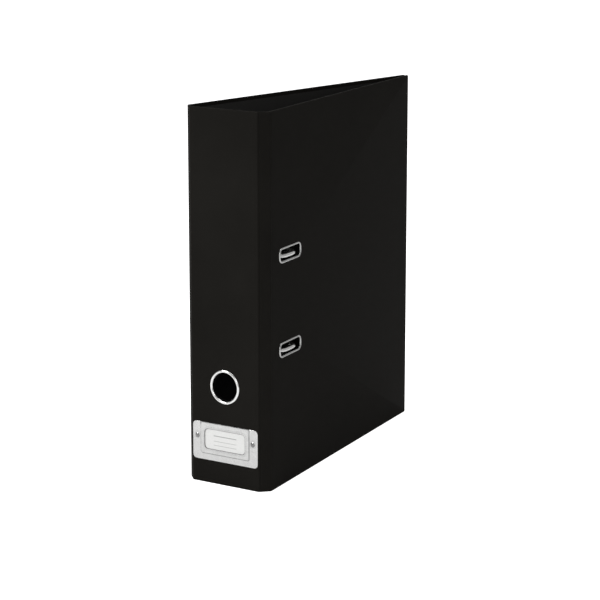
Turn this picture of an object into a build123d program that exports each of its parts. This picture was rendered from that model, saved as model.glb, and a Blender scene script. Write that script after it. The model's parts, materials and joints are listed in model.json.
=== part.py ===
from build123d import *
from math import asin, atan2, cos, degrees, pi, radians, sin, sqrt, tan
import os

# Two-hole lever arch file for A4 paper, standing closed and empty.
#
# Frame: +Z up, +Y from the spine to the fore-edge, +X to the front cover. The origin is the centre of
# the bounding box's bottom face. Millimetres and degrees.
#
# The case is a row of five stiff panels (back cover, back strip, spine, front strip, front cover) that
# fold at four creases on the outer skin. The lever arch mechanism is riveted inside the back cover.


# ---- case ----
height = 318.0            # every panel, foot to head
spine_width = 67.0        # crease to crease, on the outer skin
strip_width = 10.8        # the flat strip between the spine and a cover
cover_depth = 284.0       # crease to fore-edge
strip_bend = 44.5         # turn from the spine to a strip while closed
board_thick = 1.9
wrap_thick = 0.2          # printed paper outside
liner_thick = 0.15        # paper inside
crease_gap = 0.3          # between neighbouring boards at their inner corners, closed
wrap_setback = 0.6        # from a crease to the edge of the outer paper
fore_edge_gap = 0.35      # from the middle plane to a cover's inner skin at the fore-edge
corner_radius = 1.6       # the covers' fore-edge corners
hole_clearance = 0.1      # around a shank or barrel that passes through a panel

# ---- finger ring in the spine ----
finger_bore = 23.0
finger_flange = 3.3       # from the bore to the ring's outer edge
finger_ring_height = 85.4
finger_ring_proud = 1.2
ring_wall = 0.55
back_flange = 2.7         # from the bore to the back ring's outer edge
back_ring_thick = 0.5
clinch_thick = 0.35       # of each barrel's turned-over end
clinch_reach = 0.8        # from the barrel's wall

# ---- slots in the front cover ----
slot_length = 37.6        # clear opening
slot_height = 9.8
slot_corner = 3.6
slot_flange = 2.1
slot_proud = 0.9
slot_reach = 21.73        # from the point over the arches' axle back to the opening's near end
slot_side_gap = 0.8       # from an arch to the slot's lower edge
slot_wall = 0.5

# ---- label holder on the spine ----
label_side_gap = 0.6      # from a crease to the plate
label_height = 32.6
label_bottom = 20.0
label_corner = 3.4
label_sheet = 0.5
pocket_side = 8.0         # from the plate's side to the pocket
pocket_foot = 5.4         # from the plate's lower edge to the pocket
pocket_depth = 0.7        # room for the card
pocket_corner = 1.2
window_side = 4.6         # from the pocket's side to the window
window_height = 17.0
window_foot = 10.2        # from the plate's lower edge
window_corner = 3.4
label_rivet_inset = 4.7
label_rivet_height = 20.2  # above the plate's lower edge
label_rivet_head = 4.4
label_rivet_dome = 0.8
label_rivet_shank = 2.2
label_rivet_tail = 4.0
label_rivet_tail_thick = 0.5
card_clearance = 0.3
card_thick = 0.4
card_head_gap = 1.0       # from the plate's upper edge down to the card

# ---- lever arch mechanism, in the back cover's own axes: across, along Z, and up from its inner skin ----
hole_spacing = 80.0       # the standard spacing of two-hole punched paper
mechanism_drop = 4.6      # from the file's mid-height down to the mechanism's
wire = 4.0                # posts and arches
shaft_across = 31.0       # the arches' axle
shaft_up = 6.0
post_across = 60.0
post_tip = 45.0
tip_gap = 0.4             # between a post and its arch
crown_inset = 0.05        # from the front cover's outer skin down to the closed arches' crowns
spine_shoulder = 8.0
post_shoulder = 9.0
leg_bend = 5.0
crank_reach = 10.0
crank_half = 4.0          # from the middle to a crank arm
crank_bend = 3.0
crank_side_gap = 1.05     # from the crank to the lever's cheeks
running = 0.08            # radial room on an axle

plate_start = 21.0
plate_beyond = 12.0       # from the posts to the plate's fore-edge side
plate_margin = 9.0        # from a rivet to the plate's end
plate_thick = 1.0
plate_corner = 5.0
plate_rivet_inset = 6.5
plate_rivet_beyond = 22.0  # from a post to a rivet
plate_rivet_head = 8.0
plate_rivet_dome = 1.0
plate_rivet_shank = 3.6
plate_rivet_tail = 7.0
bearing_length = 7.0
bearing_wall = 1.1
post_collar = 7.0
post_collar_thick = 1.2
post_stub = 3.0
tip_chamfer = 0.5

spring_side_gap = 0.65    # from the lever to the spring
spring_end_gap = 1.7      # from the spring to the bearing
spring_length = 12.0
spring_wire = 1.2
spring_room = 0.24        # radial, around the axle

pivot_across = 46.0
pivot_up = 9.0
pivot_pin = 4.0
lug_side_gap = 0.85       # from the lever's cheek to a lug
lug_thick = 1.2
lug_width = 10.0
pin_head = 6.4
pin_head_thick = 0.9

cheek_thick = 1.1
web_gap = 0.7             # from the roller to the lever's web
web_thick = 1.2
web_end = 43.0
handle_end = 9.0
cheek_heel = 3.4          # the cheek's upper corner, behind and above the pivot
cheek_belly = (8.0, 3.0)  # the cheek's lower corner, ahead of and below the pivot
cheek_at_grip = 3.5       # depth of a cheek where the grip starts to cover it
cheek_at_end = 2.0        # and at the lever's end
roller_radius = 3.5
roller_side_gap = 0.65
roller_round = 0.4
roller_pin = 2.4
roller_pin_head = 3.8
roller_gap = 0.12         # from the roller to the crank, closed
roller_across = 40.5

grip_start = 17.0         # the moulded cap on the lever's end
grip_end = 3.0
grip_wall = 1.1
grip_room = 0.05
grip_depth = 3.6          # of the socket, under the web
grip_round = 0.7
grip_side_round = 0.6
thumb_rise = 7.0          # from the web's top to the thumb lip's tip
thumb_foot = 7.0          # length of the lip's slope
thumb_tip = 2.6           # thickness of its tip

bar_up = 3.4              # the compressor bar's underside at rest
bar_thick = 5.0
bar_beyond = 14.0         # from a post to the bar's end
bar_round = 0.8
bar_behind = 5.5          # from the posts to the bar's spine-side edge
bar_ahead = 10.0          # and to its fore-edge side
bar_middle_ahead = 2.5    # to the spine-side edge of the bar's middle, clear of the lever
ear_length = 22.0
bar_corner = 2.5
bar_room = 0.15           # radial, around a post
latch_width = 8.0
latch_thick = 1.4
latch_inside = 8.0        # from the post's axis inwards
latch_travel = 3.0
latch_room = 0.15
latch_floor = 1.7         # of the bar, under the latch
pad_width = 11.0
pad_height = 4.2
pad_thick = 2.6
pad_round = 0.9

# ---- worked out from the sizes above ----
panel_thick = board_thick + wrap_thick + liner_thick
strip_across = strip_width * cos(radians(strip_bend))
strip_back = strip_width * sin(radians(strip_bend))
half_width = spine_width / 2 + strip_across
cover_lean = asin((half_width - panel_thick - fore_edge_gap) / cover_depth)
cover_bend = 90 - strip_bend + degrees(cover_lean)
proud_of_spine = max(label_sheet + label_rivet_dome, label_sheet + pocket_depth, finger_ring_proud)
total_depth = proud_of_spine + strip_back + cover_depth * cos(cover_lean)
spine_face = proud_of_spine - total_depth / 2
crease_back = spine_face + strip_back

label_width = spine_width - 2 * label_side_gap
pocket_width = label_width - 2 * pocket_side
window_width = pocket_width - 2 * window_side

mechanism_height = height / 2 - mechanism_drop          # midway between the arches
slot_offset = slot_height / 2 - wire / 2 - slot_side_gap  # the slots' mid-height above the arches'
shaft_under_skin = panel_thick + shaft_up
shaft_along_cover = 2 * half_width * sin(cover_lean) + shaft_across * cos(2 * cover_lean)
shaft_along_cover -= shaft_under_skin * sin(2 * cover_lean)
shaft_to_cover = 2 * half_width * cos(cover_lean) - shaft_across * sin(2 * cover_lean)
shaft_to_cover -= shaft_under_skin * cos(2 * cover_lean)
slot_start = shaft_along_cover - slot_reach              # from the crease to the opening
crown_radius = shaft_to_cover - crown_inset - wire / 2   # from the axle to the crown's centre line

cheek_inside = crank_half + wire / 2 + crank_side_gap    # from the middle to a cheek's inner face
cheek_outside = cheek_inside + cheek_thick
lug_inside = cheek_outside + lug_side_gap
lug_outside = lug_inside + lug_thick
roller_half = cheek_inside - roller_side_gap
roller_offset = shaft_across + crank_reach - roller_across
roller_up = shaft_up + sqrt((wire / 2 + roller_radius + roller_gap) ** 2 - roller_offset ** 2)
web_under = roller_up + roller_radius + web_gap          # height of the lever's web, closed
web_top = web_under + web_thick
spring_start = cheek_outside + spring_side_gap
bearing_along = spring_start + spring_length + spring_end_gap + bearing_length / 2
plate_end = post_across + plate_beyond
plate_rivet_along = hole_spacing / 2 + plate_rivet_beyond
plate_length = 2 * (plate_rivet_along + plate_margin)
bar_half = hole_spacing / 2 + bar_beyond
bar_spine_edge = post_across - bar_behind
bar_fore_edge = post_across + bar_ahead
bar_middle_edge = post_across + bar_middle_ahead

spine_plane = Plane(origin=(0, spine_face, 0), x_dir=(1, 0, 0), z_dir=(0, -1, 0))
strip_plane = Plane(
    origin=(spine_width / 2, spine_face, 0),
    x_dir=(cos(radians(strip_bend)), sin(radians(strip_bend)), 0),
    z_dir=(sin(radians(strip_bend)), -cos(radians(strip_bend)), 0),
)
cover_plane = Plane(
    origin=(half_width, crease_back, 0),
    x_dir=(-sin(cover_lean), cos(cover_lean), 0),
    z_dir=(cos(cover_lean), sin(cover_lean), 0),
)
mechanism_plane = Plane(
    origin=(
        panel_thick * cos(cover_lean) - half_width,
        crease_back - panel_thick * sin(cover_lean),
        mechanism_height,
    ),
    x_dir=(sin(cover_lean), cos(cover_lean), 0),
    z_dir=(cos(cover_lean), -sin(cover_lean), 0),
)
nodes = {}


def keep(name, *shapes):
    """Record a node made of one or more separate solids."""
    solids = [solid for shape in shapes for solid in shape.solids()]
    nodes[name] = solids[0] if len(solids) == 1 else Compound(children=solids)


def slab(x_range, y_range, z_range):
    """A box between two corners."""
    size = [high - low for low, high in (x_range, y_range, z_range)]
    middle = [(high + low) / 2 for low, high in (x_range, y_range, z_range)]
    return Pos(*middle) * Box(*size)


def round_bar(radius, start, end, axis="Z"):
    """A cylinder along one axis, between two places on it."""
    turn = {"X": Rot(0, 90, 0), "Y": Rot(-90, 0, 0), "Z": Rot(0, 0, 0)}[axis]
    shift = {"X": Pos(start, 0, 0), "Y": Pos(0, start, 0), "Z": Pos(0, 0, start)}[axis]
    return shift * turn * extrude(Circle(radius), end - start)


def rounded_slab(length, width, radius, low, high):
    """A plate with rounded corners, centred on the Z axis."""
    return Pos(0, 0, low) * extrude(RectangleRounded(length, width, radius), high - low)


def dome_rivet(head, dome, shank, head_base, tail, tail_thick, tail_base):
    """A rivet along Z: a domed head from head_base up, and a flat clinched tail below tail_base."""
    head_radius = head / 2
    sphere = (head_radius ** 2 + dome ** 2) / (2 * dome)
    cap = Pos(0, 0, head_base + dome - sphere) * Sphere(sphere)
    cap &= round_bar(head_radius, head_base, head_base + dome)
    cap += round_bar(shank / 2, tail_base, head_base)
    return cap + round_bar(tail / 2, tail_base - tail_thick, tail_base)


# ---- case panels ----
def setback(bend):
    """How far a panel's inner layers stop short of a crease of this closed bend."""
    return panel_thick * tan(radians(bend) / 2) + crease_gap / 2


def panel(length, near_bend, far_bend, holes=(), rounded_end=False):
    """Board, outer paper and liner of one panel, in its own axes: X across, Y up, outer skin at Z = 0."""
    layers = {
        "board": (-wrap_thick - board_thick, -wrap_thick, False),
        "wrap": (-wrap_thick, 0.0, True),
        "liner": (-panel_thick, -wrap_thick - board_thick, False),
    }
    solids = {}
    for layer, (low, high, is_skin) in layers.items():
        near = wrap_setback if is_skin else setback(near_bend)
        far = 0.0
        if far_bend:
            far = wrap_setback if is_skin else setback(far_bend)
        solid = slab((near, length - far), (0, height), (low, high))
        if rounded_end:
            solid = fillet(solid.edges().filter_by(Axis.Z).group_by(Axis.X)[-1], corner_radius)
        for hole in holes:
            solid -= hole
        solids[layer] = solid
    return solids


def through(shape_radius, x, y):
    """A round hole right through a panel."""
    return Pos(x, y, 0) * round_bar(shape_radius + hole_clearance, -2 * panel_thick, panel_thick)


def slot_centres():
    across = slot_start + slot_length / 2
    middle = mechanism_height + slot_offset
    return [(across, middle + side * hole_spacing / 2) for side in (1, -1)]


def slot_hole(x, y):
    grow = 2 * (slot_wall + hole_clearance)
    return Pos(x, y, 0) * rounded_slab(
        slot_length + grow, slot_height + grow, slot_corner + grow / 2, -2 * panel_thick, panel_thick
    )


def plate_rivet_places():
    """Across and along, from the mechanism's middle."""
    across = (plate_start + plate_rivet_inset, plate_end - plate_rivet_inset)
    return [(x, side * plate_rivet_along) for x in across for side in (1, -1)]


def label_rivet_places():
    x = label_width / 2 - label_rivet_inset
    return [(side * x, label_bottom + label_rivet_height) for side in (-1, 1)]


def make_case():
    finger_radius = finger_bore / 2 + ring_wall
    spine_holes = [through(finger_radius, spine_width / 2, finger_ring_height)]
    spine_holes += [through(label_rivet_shank / 2, spine_width / 2 + x, y) for x, y in label_rivet_places()]
    spine = panel(spine_width, strip_bend, strip_bend, spine_holes)
    strip = panel(strip_width, strip_bend, cover_bend)
    front = panel(cover_depth, cover_bend, 0, [slot_hole(x, y) for x, y in slot_centres()], True)
    back_holes = [
        through(plate_rivet_shank / 2, x, mechanism_height + along) for x, along in plate_rivet_places()
    ]
    back = panel(cover_depth, cover_bend, 0, back_holes, True)
    for layer in ("board", "wrap", "liner"):
        keep("spine_" + layer, spine_plane * Pos(-spine_width / 2, 0, 0) * spine[layer])
        keep("front_strip_" + layer, strip_plane * strip[layer])
        keep("back_strip_" + layer, mirror(strip_plane * strip[layer], about=Plane.YZ))
        keep("front_cover_" + layer, cover_plane * front[layer])
        keep("back_cover_" + layer, mirror(cover_plane * back[layer], about=Plane.YZ))


# ---- metal fittings on the case ----
def make_finger_ring():
    bore = finger_bore / 2
    barrel = bore + ring_wall
    outer = bore + finger_flange
    tail = -panel_thick - back_ring_thick
    ring = Pos(0, 0, tail) * extrude(Circle(barrel) - Circle(bore), -tail)
    ring += extrude(Circle(outer) - Circle(bore), finger_ring_proud)
    top = ring.edges().filter_by(GeomType.CIRCLE).group_by(Axis.Z)[-1]
    ring = fillet(top, finger_ring_proud * 0.8)
    clinch = extrude(Circle(barrel + clinch_reach) - Circle(bore), clinch_thick)
    ring += Pos(0, 0, tail - clinch_thick) * clinch
    washer = Pos(0, 0, tail) * extrude(
        Circle(bore + back_flange) - Circle(barrel + hole_clearance), back_ring_thick
    )
    place = spine_plane * Pos(0, finger_ring_height, 0)
    keep("finger_ring", place * ring)
    keep("finger_back_ring", place * washer)


def slot_eyelet():
    """Flanged lining of one slot, clinched over the liner."""
    def frame(grow, low, high):
        length, width = slot_length + 2 * grow, slot_height + 2 * grow
        outside = rounded_slab(length, width, slot_corner + grow, low, high)
        return outside - rounded_slab(slot_length, slot_height, slot_corner, low, high)

    flange = frame(slot_flange, 0, slot_proud)
    flange = fillet(flange.edges().group_by(Axis.Z)[-1], slot_proud * 0.6)
    barrel = frame(slot_wall, -panel_thick, 0)
    clinch = frame(slot_wall + clinch_reach, -panel_thick - clinch_thick, -panel_thick)
    return flange + barrel + clinch


def make_slot_eyelets():
    for name, (x, y) in zip(("upper_slot_eyelet", "lower_slot_eyelet"), slot_centres()):
        keep(name, cover_plane * Pos(x, y, 0) * slot_eyelet())


def make_label_holder():
    middle = label_height / 2
    front = label_sheet + pocket_depth
    pocket_height = label_height - pocket_foot
    pocket_middle = label_height - pocket_height / 2
    plate = Pos(0, middle, 0) * rounded_slab(label_width, label_height, label_corner, 0, label_sheet)
    plate += Pos(0, pocket_middle, 0) * rounded_slab(
        pocket_width, pocket_height, pocket_corner, 0, front
    )
    plate = fillet(plate.edges().group_by(Axis.Z)[-1], label_sheet * 0.6)
    room = pocket_width - 2 * label_sheet
    plate -= slab(
        (-room / 2, room / 2), (pocket_foot + label_sheet, label_height + label_sheet), (0, pocket_depth)
    )
    plate -= Pos(0, window_foot + window_height / 2, 0) * rounded_slab(
        window_width, window_height, window_corner, 0, 2 * front
    )
    for x, y in label_rivet_places():
        plate -= Pos(x, y - label_bottom, 0) * round_bar(label_rivet_shank / 2 + hole_clearance, 0, front)
    card_width = room - 2 * card_clearance
    card_foot = pocket_foot + label_sheet + card_clearance
    card_gap = (pocket_depth - card_thick) / 2
    card = slab(
        (-card_width / 2, card_width / 2),
        (card_foot, label_height - card_head_gap),
        (card_gap, card_gap + card_thick),
    )
    place = spine_plane * Pos(0, label_bottom, 0)
    keep("label_holder", place * plate)
    keep("label_card", place * card)
    rivet = dome_rivet(
        label_rivet_head, label_rivet_dome, label_rivet_shank, label_sheet,
        label_rivet_tail, label_rivet_tail_thick, -panel_thick,
    )
    keep("label_rivets", *[spine_plane * Pos(x, y, 0) * rivet for x, y in label_rivet_places()])


# ---- mechanism: X across, Y along the file's height, Z up from the back cover's inner skin ----
def make_base_plate():
    middle = (plate_start + plate_end) / 2
    width = plate_end - plate_start
    plate = Pos(middle, 0, 0) * rounded_slab(width, plate_length, plate_corner, 0, plate_thick)
    plate = fillet(plate.edges().group_by(Axis.Z)[-1], plate_thick * 0.5)
    for side in (1, -1):
        plate += bearing_tab(side * bearing_along)
        plate += lever_lug(side * (lug_inside + lug_outside) / 2)
        plate -= Pos(post_across, side * hole_spacing / 2, 0) * round_bar(post_stub / 2, 0, plate_thick)
    for x, along in plate_rivet_places():
        plate -= Pos(x, along, 0) * round_bar(plate_rivet_shank / 2 + hole_clearance, 0, plate_thick)
    keep("base_plate", mechanism_plane * plate)
    rivet = dome_rivet(
        plate_rivet_head, plate_rivet_dome, plate_rivet_shank, panel_thick,
        plate_rivet_tail, plate_rivet_dome, -plate_thick,
    )
    rivet = Rot(180, 0, 0) * rivet
    keep("mechanism_rivets", *[mechanism_plane * Pos(x, y, 0) * rivet for x, y in plate_rivet_places()])


def bearing_tab(along):
    """A tab curled round the arches' axle."""
    outer = wire / 2 + running + bearing_wall
    ends = (along - bearing_length / 2, along + bearing_length / 2)
    tab = Pos(shaft_across, 0, shaft_up) * round_bar(outer, *ends, axis="Y")
    tab += slab((shaft_across, shaft_across + outer), ends, (plate_thick, shaft_up))
    return tab - Pos(shaft_across, 0, shaft_up) * round_bar(wire / 2 + running, *ends, axis="Y")


def lever_lug(along):
    """An ear bent up from the plate, which holds the lever's pin."""
    ends = (along - lug_thick / 2, along + lug_thick / 2)
    ear = slab((pivot_across - lug_width / 2, pivot_across + lug_width / 2), ends, (plate_thick, pivot_up))
    ear += Pos(pivot_across, 0, pivot_up) * round_bar(lug_width / 2, *ends, axis="Y")
    return ear - Pos(pivot_across, 0, pivot_up) * round_bar(pivot_pin / 2, *ends, axis="Y")


def make_posts():
    post = round_bar(wire / 2, plate_thick, post_tip)
    post = chamfer(post.edges().group_by(Axis.Z)[-1], tip_chamfer)
    post += round_bar(post_collar / 2, plate_thick, plate_thick + post_collar_thick)
    post += round_bar(post_stub / 2, 0, plate_thick)
    for name, side in (("upper_post", 1), ("lower_post", -1)):
        keep(name, mechanism_plane * Pos(post_across, side * hole_spacing / 2, 0) * post)


def arch_path(along):
    """One arch in the plane at this place along the file, from its free tip to the foot of its leg."""
    span = post_across - shaft_across
    inner_l = crown_radius - spine_shoulder
    inner_r = crown_radius - post_shoulder
    centre_l = (spine_shoulder, sqrt(inner_l ** 2 - spine_shoulder ** 2))
    centre_r = (span - post_shoulder, sqrt(inner_r ** 2 - (span - post_shoulder) ** 2))

    def point(x, up):
        return (shaft_across + x, along, shaft_up + up)

    def on_crown(angle):
        return point(crown_radius * cos(angle), crown_radius * sin(angle))

    def on_shoulder(centre, radius, angle):
        return point(centre[0] + radius * cos(angle), centre[1] + radius * sin(angle))

    angle_l = atan2(centre_l[1], centre_l[0])
    angle_r = atan2(centre_r[1], centre_r[0])
    return [
        Line(point(span, post_tip + tip_gap - shaft_up), point(span, centre_r[1])),
        ThreePointArc(
            point(span, centre_r[1]), on_shoulder(centre_r, post_shoulder, angle_r / 2), on_crown(angle_r)
        ),
        ThreePointArc(on_crown(angle_r), on_crown((angle_l + angle_r) / 2), on_crown(angle_l)),
        ThreePointArc(
            on_crown(angle_l),
            on_shoulder(centre_l, spine_shoulder, (angle_l + pi) / 2),
            point(0, centre_l[1]),
        ),
        Line(point(0, centre_l[1]), point(0, leg_bend)),
    ]


def make_arch_wire():
    """Both arches, their axle and its crank, bent from one wire."""
    reach = hole_spacing / 2
    crank = shaft_across + crank_reach
    corners = [
        (shaft_across, reach, shaft_up + leg_bend),
        (shaft_across, reach, shaft_up),
        (shaft_across, crank_half, shaft_up),
        (crank, crank_half, shaft_up),
        (crank, -crank_half, shaft_up),
        (shaft_across, -crank_half, shaft_up),
        (shaft_across, -reach, shaft_up),
        (shaft_across, -reach, shaft_up + leg_bend),
    ]
    turns = [leg_bend * 0.999] + [crank_bend] * 4 + [leg_bend * 0.999]
    axle = FilletPolyline(*corners, radius=turns)
    edges = [edge for line in arch_path(reach) for edge in line.edges()]
    edges += list(axle.edges())
    edges += [edge for line in arch_path(-reach) for edge in line.edges()]
    path = Wire(edges)
    start = path @ 0
    tangent = path % 0
    section = Plane(origin=start, z_dir=tangent) * Circle(wire / 2)
    keep("arch_wire", mechanism_plane * sweep(section, path=path))


def make_arch_spring():
    """A torsion spring round the axle, as a plain sleeve of its outer size."""
    bore = wire / 2 + spring_room
    outer = bore + spring_wire
    ends = (spring_start, spring_start + spring_length)
    sleeve = Pos(shaft_across, 0, shaft_up) * round_bar(outer, *ends, axis="Y")
    sleeve -= Pos(shaft_across, 0, shaft_up) * round_bar(bore, *ends, axis="Y")
    keep("arch_spring", mechanism_plane * sleeve)


def make_lever():
    profile = [
        (pivot_across, pivot_up - pivot_pin),
        (pivot_across - cheek_belly[0], pivot_up - cheek_belly[1]),
        (grip_start + cheek_belly[0], web_under - cheek_at_grip),
        (handle_end, web_under - cheek_at_end),
        (handle_end, web_top),
        (web_end, web_top),
        (pivot_across + cheek_heel, pivot_up + cheek_heel),
    ]
    cheek_face = Plane.XZ * make_face(Polyline(*profile, close=True))
    lever = None
    for ends in ((-cheek_outside, -cheek_inside), (cheek_inside, cheek_outside)):
        cheek = Pos(0, ends[1], 0) * extrude(cheek_face, cheek_thick)
        cheek += Pos(pivot_across, 0, pivot_up) * round_bar(pivot_pin, *ends, axis="Y")
        cheek -= Pos(pivot_across, 0, pivot_up) * round_bar(pivot_pin / 2 + running, *ends, axis="Y")
        cheek -= Pos(roller_across, 0, roller_up) * round_bar(roller_pin / 2, *ends, axis="Y")
        lever = cheek if lever is None else lever + cheek
    lever += slab((handle_end, web_end), (-cheek_outside, cheek_outside), (web_under, web_top))
    keep("lever", mechanism_plane * lever)

    pin = Pos(pivot_across, 0, pivot_up) * round_bar(pivot_pin / 2, -lug_outside, lug_outside, axis="Y")
    for low in (-lug_outside - pin_head_thick, lug_outside):
        pin += Pos(pivot_across, 0, pivot_up) * round_bar(pin_head / 2, low, low + pin_head_thick, axis="Y")
    keep("lever_pin", mechanism_plane * pin)

    roller = round_bar(roller_radius, -roller_half, roller_half, axis="Y")
    roller = fillet(roller.edges().filter_by(GeomType.CIRCLE), roller_round)
    roller -= round_bar(roller_pin / 2 + running, -roller_half, roller_half, axis="Y")
    keep("roller", mechanism_plane * Pos(roller_across, 0, roller_up) * roller)

    axle = round_bar(roller_pin / 2, -cheek_outside, cheek_outside, axis="Y")
    for low in (-cheek_outside - pin_head_thick / 2, cheek_outside):
        axle += round_bar(roller_pin_head / 2, low, low + pin_head_thick / 2, axis="Y")
    keep("roller_pin", mechanism_plane * Pos(roller_across, 0, roller_up) * axle)


def make_lever_grip():
    under = web_under - grip_depth
    foot = under - grip_wall
    top = web_top + grip_wall
    tip = web_top + thumb_rise
    half = cheek_outside + grip_wall
    profile = [
        (grip_start, foot),
        (grip_start, top),
        (grip_end + thumb_foot, top + grip_side_round),
        (grip_end + thumb_tip, tip),
        (grip_end, tip - grip_side_round),
        (grip_end + thumb_tip - grip_wall, web_top),
        (grip_end + thumb_tip, foot + grip_wall),
    ]
    face = fillet(make_face(Polyline(*profile, close=True)).vertices(), grip_round)
    grip = Pos(0, half, 0) * extrude(Plane.XZ * face, 2 * half)
    grip = fillet(grip.faces().filter_by(Axis.Y).edges(), grip_side_round)
    side = cheek_outside + grip_room
    grip -= slab((handle_end - grip_room, grip_start), (-side, side), (under, web_top + grip_room))
    keep("lever_grip", mechanism_plane * grip)


def bar_outline():
    """The compressor bar in plan: two ears round the posts, joined clear of the lever."""
    ear = bar_half - ear_length
    slope = bar_middle_edge - bar_spine_edge
    half = [
        (bar_fore_edge, bar_half),
        (bar_spine_edge, bar_half),
        (bar_spine_edge, ear),
        (bar_middle_edge, ear - slope),
    ]
    corners = half + [(x, -y) for x, y in reversed(half)]
    face = make_face(Polyline(*corners, close=True))
    return fillet(face.vertices(), bar_corner)


def make_compressor():
    reach = hole_spacing / 2
    bar = Pos(0, 0, bar_up) * extrude(bar_outline(), bar_thick)
    bar = fillet(bar.edges().group_by(Axis.Z)[-1], bar_round)
    floor = bar_up + latch_floor
    tunnel_half = latch_width / 2 + latch_room
    tunnel_end = reach - latch_inside - latch_travel - latch_room
    for side in (1, -1):
        bar -= Pos(post_across, side * reach, bar_up) * round_bar(wire / 2 + bar_room, 0, bar_thick)
        bar -= slab(
            (post_across - tunnel_half, post_across + tunnel_half),
            sorted((side * tunnel_end, side * bar_half)),
            (floor, floor + latch_thick + 2 * latch_room),
        )
    keep("compressor_bar", mechanism_plane * bar)

    low = floor + latch_room
    pad_start = bar_half + latch_travel + 2 * latch_room
    hole = wire / 2 + bar_room
    pad_middle = low + latch_thick / 2
    for name, side in (("upper_latch", 1), ("lower_latch", -1)):
        latch = slab(
            (post_across - latch_width / 2, post_across + latch_width / 2),
            sorted((side * (reach - latch_inside), side * (pad_start + pad_thick / 2))),
            (low, low + latch_thick),
        )
        pad = slab(
            (post_across - pad_width / 2, post_across + pad_width / 2),
            sorted((side * pad_start, side * (pad_start + pad_thick))),
            (pad_middle - pad_height / 2, pad_middle + pad_height / 2),
        )
        latch += fillet(pad.edges().filter_by(Axis.X), pad_round)
        for place in (reach, reach + latch_travel):
            latch -= Pos(post_across, side * place, low) * round_bar(hole, 0, latch_thick)
        latch -= slab(
            (post_across - hole, post_across + hole),
            sorted((side * reach, side * (reach + latch_travel))),
            (low, low + latch_thick),
        )
        keep(name, mechanism_plane * latch)


def write_parts():
    os.makedirs("parts", exist_ok=True)
    for name, shape in nodes.items():
        export_step(shape, "parts/" + name + ".step")


make_case()
make_finger_ring()
make_slot_eyelets()
make_label_holder()
make_base_plate()
make_posts()
make_arch_wire()
make_arch_spring()
make_lever()
make_lever_grip()
make_compressor()
write_parts()
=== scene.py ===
"""Looks of a two-hole lever arch file, built round its packed construction model.

Metres, in the model's own frame: +Z up, +Y from the spine to the fore-edge, +X to the front cover.
The paper-covered case is made here as five rounded, wrapped boards and the four creases that join
them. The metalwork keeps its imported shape, and small pressed and moulded details are added to it.
"""
import json
import math

import bmesh
import bpy
from mathutils import Matrix, Vector


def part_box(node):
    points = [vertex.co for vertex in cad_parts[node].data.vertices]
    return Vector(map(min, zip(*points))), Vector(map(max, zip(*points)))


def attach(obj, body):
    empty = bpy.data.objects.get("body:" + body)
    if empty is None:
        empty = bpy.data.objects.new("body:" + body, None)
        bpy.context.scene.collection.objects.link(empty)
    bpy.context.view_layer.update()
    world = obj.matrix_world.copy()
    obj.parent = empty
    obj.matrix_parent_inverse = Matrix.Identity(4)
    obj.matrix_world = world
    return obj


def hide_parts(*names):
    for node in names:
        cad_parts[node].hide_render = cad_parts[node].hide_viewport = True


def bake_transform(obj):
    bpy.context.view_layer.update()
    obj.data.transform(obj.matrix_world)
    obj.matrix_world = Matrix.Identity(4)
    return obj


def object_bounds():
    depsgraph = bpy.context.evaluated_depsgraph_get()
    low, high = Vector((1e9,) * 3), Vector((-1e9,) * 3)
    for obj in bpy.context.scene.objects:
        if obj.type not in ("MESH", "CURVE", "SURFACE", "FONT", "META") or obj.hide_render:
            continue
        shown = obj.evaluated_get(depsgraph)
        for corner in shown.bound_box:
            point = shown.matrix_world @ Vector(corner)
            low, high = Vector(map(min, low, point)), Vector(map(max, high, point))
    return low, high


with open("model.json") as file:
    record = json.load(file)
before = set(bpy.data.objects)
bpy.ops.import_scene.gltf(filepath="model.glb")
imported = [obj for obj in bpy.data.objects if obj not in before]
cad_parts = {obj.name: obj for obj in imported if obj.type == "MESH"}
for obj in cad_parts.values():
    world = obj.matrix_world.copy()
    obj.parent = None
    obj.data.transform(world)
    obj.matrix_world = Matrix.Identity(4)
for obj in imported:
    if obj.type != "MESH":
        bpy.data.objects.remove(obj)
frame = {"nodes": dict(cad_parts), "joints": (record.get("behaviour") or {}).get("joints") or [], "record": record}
CAD_LOW, CAD_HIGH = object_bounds()
RECORD = frame["record"]
JOINTS = {joint["name"]: joint for joint in frame["joints"]}
MOUNTS = {mount["name"]: mount for mount in RECORD["mounts"]}
MM = 0.001

# ---- folds that stay sharp, in degrees ----
SHARP_FROM = 50
PLATE_SHARP_FROM = 60
WIRE_SHARP_FROM = 40

# ---- case ----
EDGE_ROUND = 0.6 * MM        # of the paper turned over a board's edge
EDGE_STEPS = 5
WEAR_REACH = 1.1 * MM        # of the rubbed paper, from the foot and head
CORNER_ROUND = 1.6 * MM      # the covers' fore-edge corners
CORNER_LEAST = 0.3 * MM      # round that is left under an inset corner
CORNER_STEPS = 8
LINER_MARGIN = 3.2 * MM      # turned-in paper left showing round the liner
LINER_STEP = 0.05 * MM       # of the liner's edge
LINER_LAP = 0.02 * MM        # how far the liner reaches into the board
CREASE_HALF = 2.6 * MM       # from a crease to the panel beside it
CREASE_ROUND = 1.3 * MM      # half width of a stretch either side of a crease
CREASE_INNER_ROUND = 0.8 * MM
CREASE_STEPS = 10
CREASE_BLEND = 1.1 * MM      # half width of the stretch that turns with the crease
SCORE_AT = 1.75 * MM         # scored line beside a crease, on the strip
SCORE_HALF = 0.32 * MM
SCORE_DEPTH = 0.14 * MM
SCORE_SHAPE = ((-1, 0), (-0.5, 0.7), (0, 1), (0.5, 0.7), (1, 0))   # across, in half widths, and depth
SLOT_COVERED = 1.4 * MM      # how far a slot eyelet's flange overlaps the hole in the paper
SLOT_HOLE_CORNER = 4.2 * MM
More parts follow.
